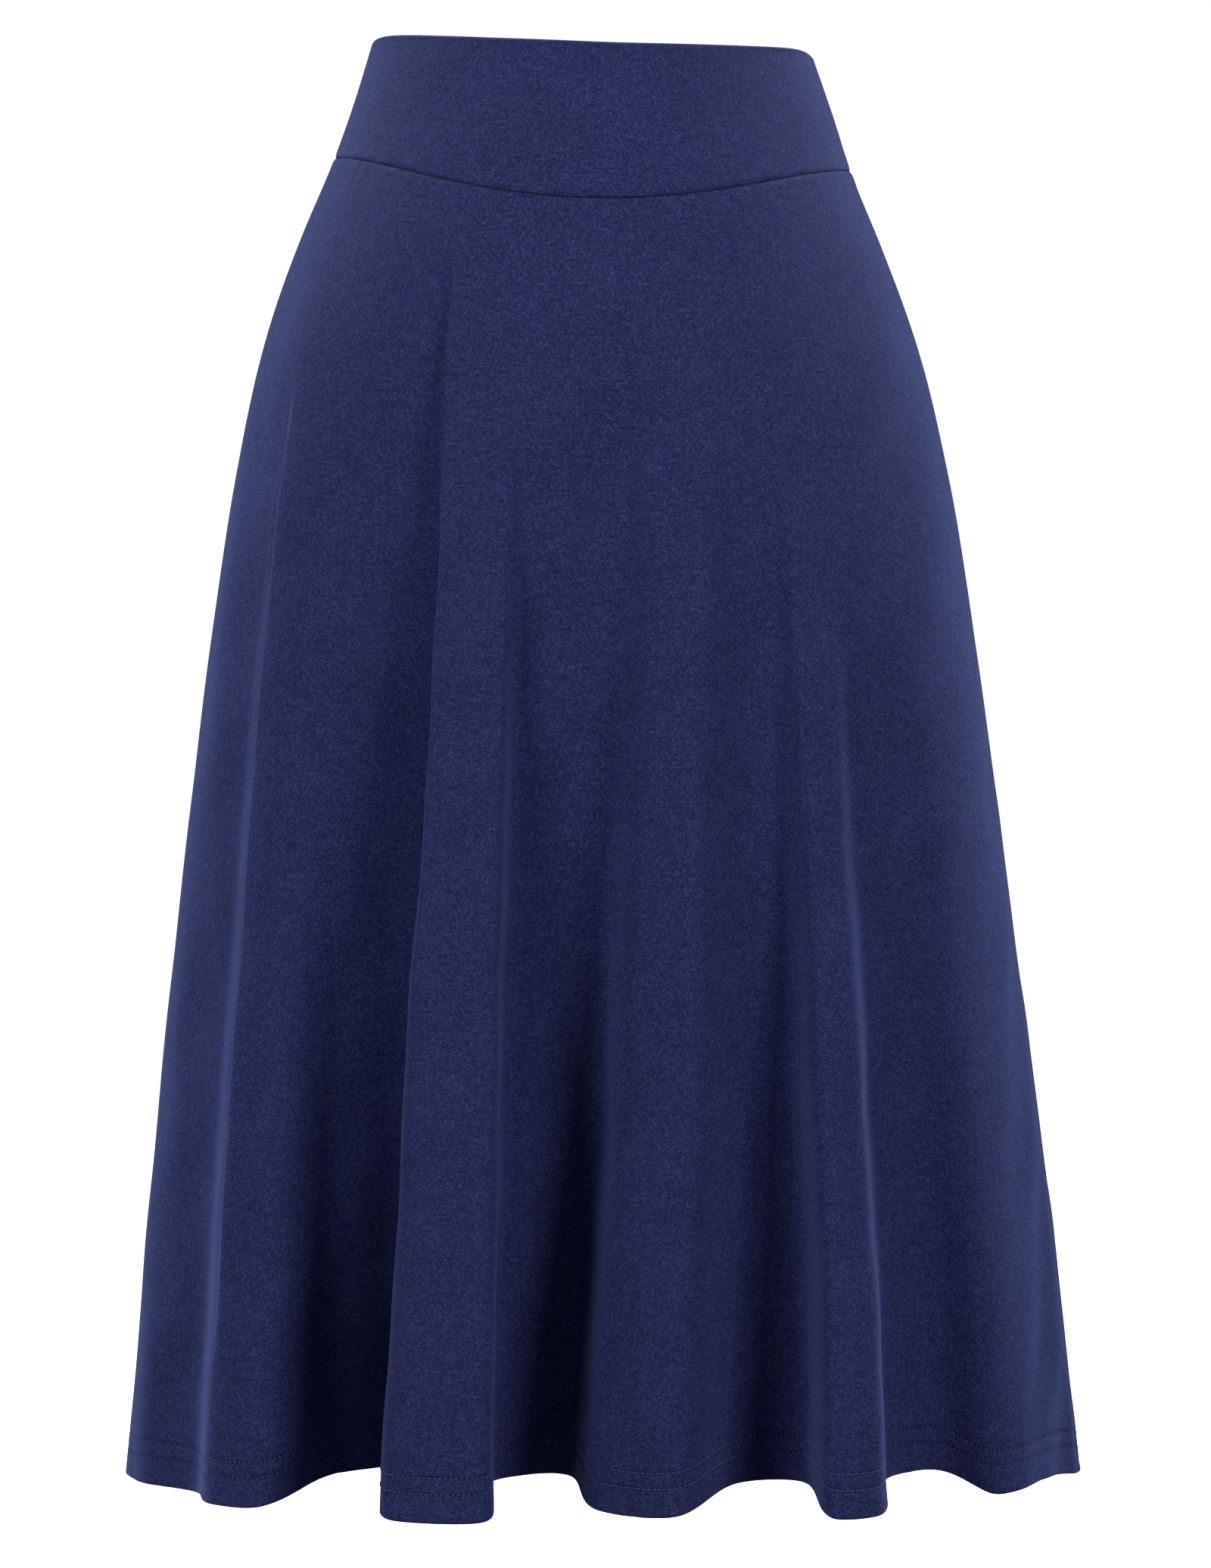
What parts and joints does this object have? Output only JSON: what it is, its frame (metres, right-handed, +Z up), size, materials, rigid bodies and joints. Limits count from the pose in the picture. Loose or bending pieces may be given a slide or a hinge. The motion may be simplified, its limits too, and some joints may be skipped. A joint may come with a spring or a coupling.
{
  "type": "flared jersey skirt, as worn with no wearer",
  "caption": "Knee-to-calf flared jersey skirt with a wide shaped yoke, soft folds and a stitched hem, held open as it hangs when worn",
  "frame": {"origin": "middle of the waist opening, level with the middle of the waist's folded edge, where the wearer holds the skirt", "axes": "+Z up, +X to the viewer's right, the front of the skirt faces -Y"},
  "size_m": [0.4883, 0.335, 0.7323],
  "materials": {
    "jersey": "navy cotton jersey, fine knit, matt with a faint nap",
    "thread": "navy sewing thread of the hem and the yoke seam"
  },
  "bodies": {
    "root": {"yoke_front": "jersey", "yoke_back": "jersey", "skirt_front": "jersey", "skirt_back": "jersey"}
  },
  "joints": []
}
